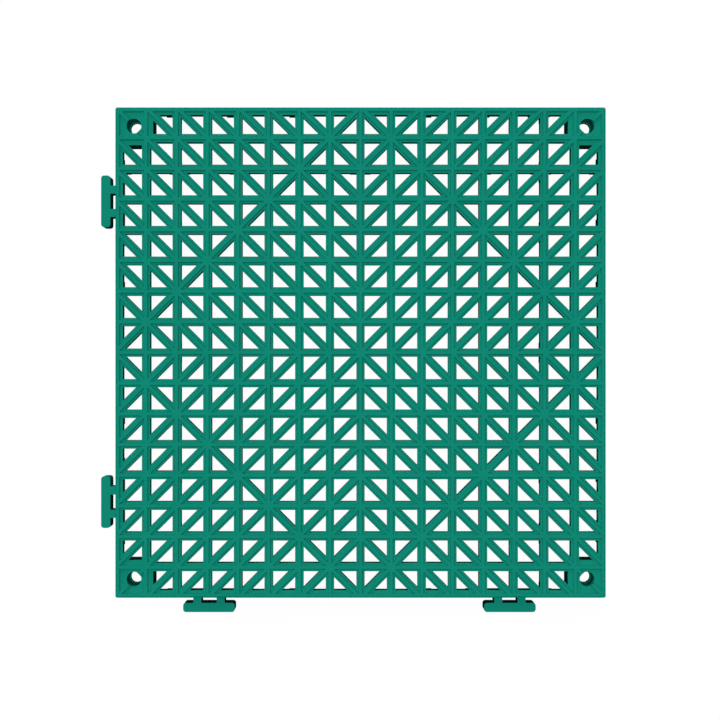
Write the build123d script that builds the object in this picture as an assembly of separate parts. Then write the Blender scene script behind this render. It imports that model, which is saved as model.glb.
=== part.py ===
"""Interlocking drainage tile: one moulded square grid with corner posts, feet and T-shaped clips."""

import math
import os

from build123d import *

# Driving dimensions of the tile, in millimetres
tile_side = 300.0
tile_height = 13.0
cell_count = 16
corner_chamfer = 0.8

# Ribs of the grid: width below the crown, width of the crown's flat top, heights
rib_width = 4.9
crown_width = 2.2
crown_height = 1.15
deck_depth = 5.0
frame_width = 4.5
frame_crown_width = 2.6
frame_chamfer = 1.0

# Ring of cells whose diagonals are turned, counted in cells from a corner along both edges
turned_ring = 7

# Feet: upright plates under every second crossing, off-centre beside the sockets for the next tile's clips
foot_step = 2
ring_line = 2
foot_length = 12.8
foot_width = 2.4
frame_foot_length = 13.5
frame_foot_width = 3.1
socket_foot_shift = 1.3
stub_length = 7.2

# Corner posts, their stepped screw holes and the recess below
post_side = 23.1
post_draft = 0.3
hole_from_edge = 11.4
head_diameter = 9.0
head_depth = 6.2
shank_diameter = 7.1
recess_side = 17.0
recess_depth = 3.0

# Clips on two neighbouring sides, each on a wall under the frame; ends of a side as seen from outside
clip_from_left_end = 56.6
clip_from_right_end = 57.85
clip_wall_length = 53.6
clip_bar_length = 31.8
clip_bar_width = 5.7
clip_bar_radius = 1.8
clip_neck_width = 5.0
clip_neck_spacing = 14.4
clip_clearance = 1.1
clip_headroom = 0.3

# Derived sizes, levels and places
pitch = tile_side / cell_count
half_side = tile_side / 2
half_cells = cell_count // 2
crown_level = tile_height - crown_height
deck_level = tile_height - deck_depth
foot_height = deck_level + deck_depth / 2
clip_gap = frame_foot_width + clip_clearance
clip_height = deck_level - clip_headroom
hole_offset = half_side - hole_from_edge
clip_places = (clip_from_left_end - half_side, half_side - clip_from_right_end)
inner_lines = range(foot_step, cell_count, foot_step)
ring_lines = (ring_line, cell_count - ring_line)
middle_lines = range(ring_line + 2 * foot_step, cell_count - ring_line - foot_step, foot_step)
clip_turns = [Rot(0, 0, turn) for turn in (0, -90)]
socket_turns = [Rot(0, 0, turn) for turn in (90, 180)]


def line_place(index):
    """Distance of a grid line from the tile's middle."""
    return index * pitch - half_side


def is_corner_cell(column, row):
    """True for the four cells that lie on the corner posts."""
    return column in (0, cell_count - 1) and row in (0, cell_count - 1)


def rises_to_right(column, row):
    """True where the cell's diagonal runs from its lower left to its upper right corner."""
    to_edge_x = min(column, cell_count - 1 - column)
    to_edge_y = min(row, cell_count - 1 - row)
    same_side = (column < half_cells) == (row < half_cells)
    turned = to_edge_x + to_edge_y == turned_ring
    return same_side != turned


def prismoid(*sections):
    """Solid with flat sides through outlines of equal length, from the lowest to the highest."""
    outlines = [sections[0], sections[-1]]
    for below, above in zip(sections, sections[1:]):
        for i in range(len(below)):
            outlines.append([below[i - 1], below[i], above[i], above[i - 1]])
    return Solid(Shell([Face(Wire.make_polygon(outline)) for outline in outlines]))


def hollow_outline(column, row, right, upper, rib_inset, frame_inset, level):
    """Triangle of half a cell, its square corner at the right or left and the upper or lower side."""
    outer_x = column == (cell_count - 1 if right else 0)
    outer_y = row == (cell_count - 1 if upper else 0)
    inset_x = frame_inset if outer_x else rib_inset
    inset_y = frame_inset if outer_y else rib_inset
    reach = pitch - math.sqrt(2) * rib_inset
    corner_x = line_place(column + int(right))
    corner_y = line_place(row + int(upper))
    step_x = -1 if right else 1
    step_y = -1 if upper else 1
    local = [(inset_x, inset_y), (reach - inset_y, inset_y), (inset_x, reach - inset_x)]
    return [Vector(corner_x + step_x * u, corner_y + step_y * v, level) for u, v in local]


def hollow(column, row, right, upper):
    """Space between the ribs in half a cell: straight through the deck, wider between the crowns."""
    place = (column, row, right, upper)
    sections = [
        hollow_outline(*place, rib_width / 2, frame_width, crown_level),
        hollow_outline(*place, crown_width / 2, frame_crown_width, tile_height),
    ]
    if not is_corner_cell(column, row):
        sections.insert(0, hollow_outline(*place, rib_width / 2, frame_width, deck_level))
    return prismoid(*sections)


def plate(length, width, side=Align.CENTER):
    """Upright plate along X from the floor into the deck, its side towards -Y or its middle on the X axis."""
    return Box(length, width, foot_height, align=(Align.CENTER, side, Align.MIN))


def clip():
    """T-shaped clip for the side at -Y, its middle on the side's outer face."""
    middle = -clip_gap - clip_bar_width / 2
    bar = Pos(0, middle) * RectangleRounded(clip_bar_length, clip_bar_width, clip_bar_radius)
    neck_length = frame_foot_width / 2 - middle
    neck = Pos(0, middle + neck_length / 2) * Rectangle(clip_neck_width, neck_length)
    necks = [Pos(x) * neck for x in (-clip_neck_spacing / 2, clip_neck_spacing / 2)]
    return extrude(bar + necks, amount=clip_height)


# Deck: a block with chamfered edges, opened by the triangular hollows
outline = chamfer(Rectangle(tile_side, tile_side).vertices(), corner_chamfer)
envelope = extrude(outline, amount=crown_level)
block = Pos(0, 0, deck_level) * extrude(outline, amount=deck_depth)
block = chamfer(block.edges().group_by(Axis.Z)[-1], frame_chamfer)
hollows = []
for column in range(cell_count):
    for row in range(cell_count):
        for right in (False, True):
            upper = not right if rises_to_right(column, row) else right
            hollows.append(hollow(column, row, right, upper))
deck = block - hollows

# Corner posts, flush with the outer faces and drafted inside
post_tip = post_side - post_draft
post_low = [Vector(x, y) for x, y in ((0, 0), (-post_tip, 0), (-post_tip, -post_tip), (0, -post_tip))]
post_high = [
    Vector(x, y, crown_level)
    for x, y in ((0, 0), (-post_side, 0), (-post_side, -post_side), (0, -post_side))
]
post = Pos(half_side, half_side) * prismoid(post_low, post_high) & envelope
supports = [turn * post for turn in clip_turns + socket_turns]

# Feet along a ring of ribs near the frame, and staggered feet along X inside that ring
foot = plate(foot_length, foot_width)
for column in inner_lines:
    for row in inner_lines:
        place = Pos(line_place(column), line_place(row))
        inside = column not in ring_lines and row not in ring_lines
        staggered = (column + row) % (2 * foot_step) == 0
        if row in ring_lines or inside and staggered:
            supports.append(place * foot)
        if column in ring_lines:
            supports.append(place * Rot(0, 0, 90) * foot)

# Feet under the frame on all four sides, with a stub along each end of the ring of ribs
frame_foot = Pos(0, -half_side) * plate(frame_foot_length, frame_foot_width, Align.MIN)
stub = Pos(0, stub_length / 2 - half_side) * Rot(0, 0, 90) * plate(stub_length, foot_width)
stubs = [Pos(line_place(line)) * stub for line in ring_lines]
for line in inner_lines:
    shift = 0 if line in middle_lines else socket_foot_shift
    supports += [turn * Pos(line_place(line)) * frame_foot for turn in clip_turns]
    supports += [turn * Pos(line_place(line) + shift) * frame_foot for turn in socket_turns]
supports += [turn * piece for turn in clip_turns + socket_turns for piece in stubs]

# Clips and their walls on the -Y side, and a quarter turn on, on the -X side
clip_wall = Pos(0, -half_side) * plate(clip_wall_length, frame_foot_width, Align.MIN)
side_clip = Pos(0, -half_side) * clip()
for offset in clip_places:
    supports += [turn * Pos(offset) * piece for turn in clip_turns for piece in (clip_wall, side_clip)]

# Stepped screw holes through the posts, which are recessed below
head_hole = extrude(Pos(0, 0, tile_height) * Circle(head_diameter / 2), amount=-crown_height - head_depth)
shank_hole = extrude(Circle(shank_diameter / 2), amount=tile_height)
recess = extrude(Rectangle(recess_side, recess_side), amount=recess_depth)
screw_hole = head_hole + shank_hole + recess
hole_places = [(x, y) for x in (-hole_offset, hole_offset) for y in (-hole_offset, hole_offset)]
screw_holes = [Pos(x, y) * screw_hole for x, y in hole_places]

drainage_tile = (deck + supports) - screw_holes

os.makedirs("parts", exist_ok=True)
export_step(drainage_tile, "parts/drainage_tile.step")
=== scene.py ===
"""Interlocking drainage tile of green moulded plastic, seen from straight above on a white floor."""

import math
from itertools import product

import bmesh
import bpy
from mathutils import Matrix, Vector


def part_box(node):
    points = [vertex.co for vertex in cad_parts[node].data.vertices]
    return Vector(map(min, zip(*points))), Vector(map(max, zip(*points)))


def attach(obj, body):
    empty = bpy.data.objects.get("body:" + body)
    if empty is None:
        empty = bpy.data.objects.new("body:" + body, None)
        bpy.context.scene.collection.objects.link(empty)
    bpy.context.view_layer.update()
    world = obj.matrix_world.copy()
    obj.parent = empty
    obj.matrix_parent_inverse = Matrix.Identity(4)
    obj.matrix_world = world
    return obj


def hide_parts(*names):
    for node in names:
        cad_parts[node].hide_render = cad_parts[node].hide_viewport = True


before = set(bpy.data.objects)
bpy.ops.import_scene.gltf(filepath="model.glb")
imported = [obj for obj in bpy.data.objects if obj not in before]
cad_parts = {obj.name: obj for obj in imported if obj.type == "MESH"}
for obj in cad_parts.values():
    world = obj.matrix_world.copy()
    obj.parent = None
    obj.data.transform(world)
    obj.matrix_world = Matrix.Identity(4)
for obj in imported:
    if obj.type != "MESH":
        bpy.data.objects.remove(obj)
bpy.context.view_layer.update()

MM = 0.001

# The tile's side and height come from the frame, in metres like all sizes here
NODE = "drainage_tile"
LOW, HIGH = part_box(NODE)
HALF_SIDE = HIGH[0]
TOP = HIGH[2]

# Grid of square cells, and the ring of cells whose diagonals are turned, in steps from a corner
CELLS = 16
PITCH = 2 * HALF_SIDE / CELLS
TURNED_RING = 7

# Ribs with a narrow crown on top, and the same for the frame, measured from the tile's edge
RIB_WIDTH = 5.1 * MM
CROWN_WIDTH = 2.0 * MM
CROWN_FOOT_WIDTH = 2.98 * MM
CROWN_HEIGHT = 0.88 * MM
FRAME_WIDTH = 4.62 * MM
FRAME_CROWN = 2.58 * MM
FRAME_CROWN_FOOT = 3.08 * MM

# Plate that fills the ribs and posts up to the ledges beside the crowns
POST_SIDE = 23.12 * MM
PLATE_INSET = 1.6 * MM
PLATE_DEPTH = 5.01 * MM

# Screw holes in the posts, and the plugs that close the solid's plain holes before they are cut
HOLE_FROM_EDGE = 11.4 * MM
HOLE_SIDES = 64
SHANK_RADIUS = 3.54 * MM
STEP_RADIUS = 3.78 * MM
MOUTH_RADIUS = 4.49 * MM
SHANK_LEVEL = 2.0 * MM
STEP_LEVEL = 5.65 * MM
MOUTH_LEVEL = 12.0 * MM
PLUG_RADIUS = 4.6 * MM
PLUG_LEVEL = 3.4 * MM

# Overlap of joined solids, reach of cutters beyond what they cut, welding distance, sharpest smooth edge
OVERLAP = 0.1 * MM
CUT_REACH = 0.4 * MM
WELD = 0.002 * MM
EDGE_ANGLE = math.radians(28)

# Plastic: linear colours and roughness at both ends of the flow marks, and a fine grain
GREEN = (0.0047, 0.229, 0.161, 1.0)
GREEN_PALE = (0.0055, 0.241, 0.170, 1.0)
SPECULAR = 0.01
ROUGHNESS = (0.86, 0.96)
FLOW_SCALE, FLOW_DETAIL = 45, 3
FLOW_SPAN = (0.35, 0.65)
GRAIN_SCALE, GRAIN_DETAIL = 2600, 2
GRAIN_STRENGTH = 0.10
GRAIN_DEPTH = 0.05 * MM

# Floor: what it throws back, what it glows with where it is seen, and its size
FLOOR_GREY = (0.04, 0.04, 0.04, 1.0)
FLOOR_GLOW = 0.96
FLOOR_REACH = 20 * HALF_SIDE

# Suns: direction towards each, strength and angular size; the sky's light, and its white where it is seen
LAMPS = {
    "overhead": (Vector((0.0, 0.0, 1.0)), 2.50, math.radians(3)),
    "left": (Vector((-0.908, 0.328, 0.26)), 0.95, math.radians(10)),
    "back": (Vector((0.048, 0.964, 0.26)), 1.04, math.radians(10)),
}
SKY_STRENGTH = 0.04
SKY_SEEN = 1.0
WHITE = (1.0, 1.0, 1.0, 1.0)

# Camera: its place above the tile's top, the picture's side, the tile's side in it and the point
# straight below the lens, all three in pixels
CAMERA_HEIGHT = 575 * MM
CAMERA_X = -6.75 * MM
CAMERA_Y = -10.65 * MM
IMAGE_SIDE = 720
TILE_PIXELS = 491.1
BELOW_LENS_X = 349.5
BELOW_LENS_Y = 370.0
SENSOR = 36.0
CLIP_NEAR, CLIP_FAR = 0.01, 50


def rises_to_right(column, row):
    """True where the cell's diagonal runs from its lower left to its upper right corner."""
    to_edge_x = min(column, CELLS - 1 - column)
    to_edge_y = min(row, CELLS - 1 - row)
    same_side = (column < CELLS // 2) == (row < CELLS // 2)
    return same_side != (to_edge_x + to_edge_y == TURNED_RING)


def is_corner_cell(column, row):
    """True for the four cells that lie on the corner posts."""
    return column in (0, CELLS - 1) and row in (0, CELLS - 1)


def half_cells():
    """Column and row of each half cell, and whether its square corner is at the right and upper side."""
    for column, row, right in product(range(CELLS), range(CELLS), (False, True)):
        upper = not right if rises_to_right(column, row) else right
        yield column, row, right, upper


def line_place(index):
    """Distance of a grid line from the tile's middle."""
    return index * PITCH - HALF_SIDE


def pocket_corners(half_cell, rib_half, frame_inset):
    """Corners of the space between the ribs in half a cell, counted anticlockwise."""
    column, row, right, upper = half_cell
    outer_x = column == (CELLS - 1 if right else 0)
    outer_y = row == (CELLS - 1 if upper else 0)
    inset_x = frame_inset if outer_x else rib_half
    inset_y = frame_inset if outer_y else rib_half
    reach = PITCH - math.sqrt(2) * rib_half
    step_x = -1 if right else 1
    step_y = -1 if upper else 1
    local = [(inset_x, inset_y), (reach - inset_y, inset_y), (inset_x, reach - inset_x)]
    if step_x != step_y:
        local.reverse()
    corner_x = line_place(column + int(right))
    corner_y = line_place(row + int(upper))
    return [(corner_x + step_x * u, corner_y + step_y * v) for u, v in local]


def add_solid(bm, outlines):
    """Closed solid through outlines of equal length, each with its level, from the lowest to the highest."""
    rings = [[bm.verts.new((x, y, level)) for x, y in outline] for outline, level in outlines]
    bm.faces.new(list(reversed(rings[0])))
    bm.faces.new(rings[-1])
    for below, above in zip(rings, rings[1:]):
        for i in range(len(below)):
            bm.faces.new((below[i - 1], below[i], above[i], above[i - 1]))


def add_block(bm, x_range, y_range, low, high):
    """Box between two levels."""
    (x0, x1), (y0, y1) = sorted(x_range), sorted(y_range)
    base = [(x0, y0), (x1, y0), (x1, y1), (x0, y1)]
    add_solid(bm, [(base, low), (base, high)])


def new_object(name, bm):
    """Object with the mesh of bm, which is freed."""
    mesh = bpy.data.meshes.new(name)
    bm.to_mesh(mesh)
    bm.free()
    piece = bpy.data.objects.new(name, mesh)
    bpy.context.scene.collection.objects.link(piece)
    return piece


def combine(piece, other, operation):
    """Change the piece's mesh by a boolean with the other object, which is deleted."""
    step = piece.modifiers.new("combine", "BOOLEAN")
    step.object = other
    step.operation = operation
    step.solver = "EXACT"
    depsgraph = bpy.context.evaluated_depsgraph_get()
    mesh = bpy.data.meshes.new_from_object(piece.evaluated_get(depsgraph))
    piece.modifiers.remove(step)
    bpy.data.objects.remove(other)
    bm = bmesh.new()
    bm.from_mesh(mesh)
    bmesh.ops.remove_doubles(bm, verts=bm.verts, dist=WELD)
    bmesh.ops.dissolve_degenerate(bm, edges=bm.edges, dist=WELD)
    bm.to_mesh(mesh)
    bm.free()
    piece.data = mesh


def crown_cutters():
    """Spaces between the crowns, with a flat floor at the ledges and sloped walls up to the top."""
    bm = bmesh.new()
    grow = CUT_REACH / CROWN_HEIGHT
    foot_half = CROWN_FOOT_WIDTH / 2
    top_half = CROWN_WIDTH / 2 - grow * (CROWN_FOOT_WIDTH - CROWN_WIDTH) / 2
    top_inset = FRAME_CROWN - grow * (FRAME_CROWN_FOOT - FRAME_CROWN)
    for half_cell in half_cells():
        foot = pocket_corners(half_cell, foot_half, FRAME_CROWN_FOOT)
        rim = pocket_corners(half_cell, top_half, top_inset)
        add_solid(bm, [(foot, TOP - CROWN_HEIGHT), (rim, TOP + CUT_REACH)])
    return new_object("crown_cutters", bm)


def drain_cutters(low, high):
    """Drain holes between the ribs, cut short at the corner posts."""
    bm = bmesh.new()
    for half_cell in half_cells():
        if not is_corner_cell(*half_cell[:2]):
            hole = pocket_corners(half_cell, RIB_WIDTH / 2, FRAME_WIDTH)
            add_solid(bm, [(hole, low), (hole, high)])
    holes = new_object("holes", bm)

    posts = bmesh.new()
    inner = HALF_SIDE - POST_SIDE
    for x, y in product((-1, 1), repeat=2):
        corner = (x * inner, x * HALF_SIDE), (y * inner, y * HALF_SIDE)
        add_block(posts, *corner, low - CUT_REACH, high + CUT_REACH)
    combine(holes, new_object("posts", posts), "DIFFERENCE")
    return holes


def lathe(name, section):
    """Round solids on the axes of the four screw holes; the section gives radius and level upwards."""
    bm = bmesh.new()
    place = HALF_SIDE - HOLE_FROM_EDGE
    turns = [2 * math.pi * i / HOLE_SIDES for i in range(HOLE_SIDES)]
    for x, y in product((-place, place), repeat=2):
        outlines = []
        for radius, level in section:
            circle = [(x + radius * math.cos(turn), y + radius * math.sin(turn)) for turn in turns]
            outlines.append((circle, level))
        add_solid(bm, outlines)
    return new_object(name, bm)


def screw_bores():
    """Screw holes: narrow shank, small step, steep cone and wide mouth."""
    return lathe("bores", [
        (SHANK_RADIUS, SHANK_LEVEL),
        (SHANK_RADIUS, STEP_LEVEL),
        (STEP_RADIUS, STEP_LEVEL),
        (MOUTH_RADIUS, MOUTH_LEVEL),
        (MOUTH_RADIUS, TOP + CUT_REACH),
    ])


def ledge_plate():
    """Plate that brings the ribs and the posts up to the ledges, with open drain holes and plugs below."""
    low = TOP - PLATE_DEPTH
    high = TOP - CROWN_HEIGHT + OVERLAP
    side = HALF_SIDE - PLATE_INSET
    holes = drain_cutters(low - CUT_REACH, high + CUT_REACH)
    block = bmesh.new()
    add_block(block, (-side, side), (-side, side), low, high)
    plate = new_object("plate", block)
    combine(plate, holes, "DIFFERENCE")
    plugs = lathe("plugs", [(PLUG_RADIUS, PLUG_LEVEL), (PLUG_RADIUS, low + CUT_REACH)])
    combine(plate, plugs, "UNION")
    return plate


def moulded_body():
    """The solid's mesh, filled up to the ledges, with the screw holes and the crowns cut anew."""
    bm = bmesh.new()
    bm.from_mesh(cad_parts[NODE].data)
    bmesh.ops.remove_doubles(bm, verts=bm.verts, dist=WELD)
    body = new_object("tile_body", bm)
    combine(body, ledge_plate(), "UNION")
    combine(body, screw_bores(), "DIFFERENCE")
    combine(body, crown_cutters(), "DIFFERENCE")
    mesh = body.data
    if "custom_normal" in mesh.attributes:
        mesh.attributes.remove(mesh.attributes["custom_normal"])
    mesh.shade_smooth()
    mesh.set_sharp_from_angle(angle=EDGE_ANGLE)
    return body


def plastic():
    """Green moulded plastic: faint flow marks in colour and roughness, fine grain."""
    material = bpy.data.materials.new("moulded_green_plastic")
    material.use_nodes = True
    nodes = material.node_tree.nodes
    links = material.node_tree.links
    shader = nodes["Principled BSDF"]
    shader.inputs["Specular IOR Level"].default_value = SPECULAR
    place = nodes.new("ShaderNodeTexCoord")

    flow = nodes.new("ShaderNodeTexNoise")
    flow.inputs["Scale"].default_value = FLOW_SCALE
    flow.inputs["Detail"].default_value = FLOW_DETAIL
    links.new(place.outputs["Object"], flow.inputs["Vector"])
    tint = nodes.new("ShaderNodeValToRGB")
    for stop, position, colour in zip(tint.color_ramp.elements, FLOW_SPAN, (GREEN, GREEN_PALE)):
        stop.position = position
        stop.color = colour
    links.new(flow.outputs["Fac"], tint.inputs["Fac"])
    links.new(tint.outputs["Color"], shader.inputs["Base Color"])

    roughness = nodes.new("ShaderNodeMapRange")
    roughness.inputs["To Min"].default_value = ROUGHNESS[0]
    roughness.inputs["To Max"].default_value = ROUGHNESS[1]
    links.new(flow.outputs["Fac"], roughness.inputs["Value"])
    links.new(roughness.outputs["Result"], shader.inputs["Roughness"])

    grain = nodes.new("ShaderNodeTexNoise")
    grain.inputs["Scale"].default_value = GRAIN_SCALE
    grain.inputs["Detail"].default_value = GRAIN_DETAIL
    links.new(place.outputs["Object"], grain.inputs["Vector"])
    bump = nodes.new("ShaderNodeBump")
    bump.inputs["Strength"].default_value = GRAIN_STRENGTH
    bump.inputs["Distance"].default_value = GRAIN_DEPTH
    links.new(grain.outputs["Fac"], bump.inputs["Height"])
    links.new(bump.outputs["Normal"], shader.inputs["Normal"])
    return material


def seen_directly(nodes, links):
    """Socket that is 1 for camera, glossy and transmission rays."""
    path = nodes.new("ShaderNodeLightPath")
    seen = path.outputs["Is Camera Ray"]
    for ray in ("Is Glossy Ray", "Is Transmission Ray"):
        either = nodes.new("ShaderNodeMath")
        either.operation = "MAXIMUM"
        links.new(seen, either.inputs[0])
        links.new(path.outputs[ray], either.inputs[1])
        seen = either.outputs[0]
    return seen


def floor_material():
    """White floor that takes a faint shadow and throws little light back under the tile."""
    material = bpy.data.materials.new("white_floor")
    material.use_nodes = True
    nodes = material.node_tree.nodes
    links = material.node_tree.links
    nodes.clear()
    output = nodes.new("ShaderNodeOutputMaterial")
    matt = nodes.new("ShaderNodeBsdfDiffuse")
    matt.inputs["Color"].default_value = FLOOR_GREY
    glow = nodes.new("ShaderNodeEmission")
    glow.inputs["Strength"].default_value = FLOOR_GLOW
    both = nodes.new("ShaderNodeAddShader")
    links.new(matt.outputs[0], both.inputs[0])
    links.new(glow.outputs[0], both.inputs[1])
    choice = nodes.new("ShaderNodeMixShader")
    links.new(seen_directly(nodes, links), choice.inputs["Fac"])
    links.new(matt.outputs[0], choice.inputs[1])
    links.new(both.outputs[0], choice.inputs[2])
    links.new(choice.outputs[0], output.inputs["Surface"])
    return material


def add_floor():
    """Large plane on which the tile lies."""
    bm = bmesh.new()
    corners = [(-FLOOR_REACH, -FLOOR_REACH), (FLOOR_REACH, -FLOOR_REACH),
               (FLOOR_REACH, FLOOR_REACH), (-FLOOR_REACH, FLOOR_REACH)]
    bm.faces.new([bm.verts.new((x, y, LOW[2])) for x, y in corners])
    floor = new_object("floor", bm)
    floor.data.materials.append(floor_material())


def add_light():
    """A sun straight above, two weaker low ones from the left and the back, and a dim sky, seen as white."""
    for name, (direction, strength, angle) in LAMPS.items():
        lamp = bpy.data.lights.new(name, "SUN")
        lamp.energy = strength
        lamp.angle = angle
        sun = bpy.data.objects.new(name, lamp)
        sun.rotation_euler = direction.to_track_quat("Z", "Y").to_euler()
        bpy.context.scene.collection.objects.link(sun)

    world = bpy.data.worlds.new("sky")
    world.use_nodes = True
    bpy.context.scene.world = world
    nodes = world.node_tree.nodes
    links = world.node_tree.links
    sky = nodes["Background"]
    sky.inputs["Color"].default_value = WHITE
    brightness = nodes.new("ShaderNodeMapRange")
    brightness.inputs["To Min"].default_value = SKY_STRENGTH
    brightness.inputs["To Max"].default_value = SKY_SEEN
    links.new(seen_directly(nodes, links), brightness.inputs["Value"])
    links.new(brightness.outputs["Result"], sky.inputs["Strength"])


def add_camera():
    """Camera that looks straight down, its picture shifted to frame the tile as the photograph does."""
    data = bpy.data.cameras.new("camera")
    data.sensor_width = SENSOR
    pixels_per_metre = TILE_PIXELS / (2 * HALF_SIDE)
    data.lens = CAMERA_HEIGHT * pixels_per_metre * SENSOR / IMAGE_SIDE
    data.shift_x = (IMAGE_SIDE / 2 - BELOW_LENS_X) / IMAGE_SIDE
    data.shift_y = (BELOW_LENS_Y - IMAGE_SIDE / 2) / IMAGE_SIDE
    data.clip_start = CLIP_NEAR
    data.clip_end = CLIP_FAR
    camera = bpy.data.objects.new("camera", data)
    camera.location = (CAMERA_X, CAMERA_Y, TOP + CAMERA_HEIGHT)
    bpy.context.scene.collection.objects.link(camera)
    bpy.context.scene.camera = camera


body = moulded_body()
body.data.materials.clear()
body.data.materials.append(plastic())
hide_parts(NODE)
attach(body, "root")

add_floor()
add_light()
add_camera()
bpy.context.scene.view_settings.view_transform = "Standard"
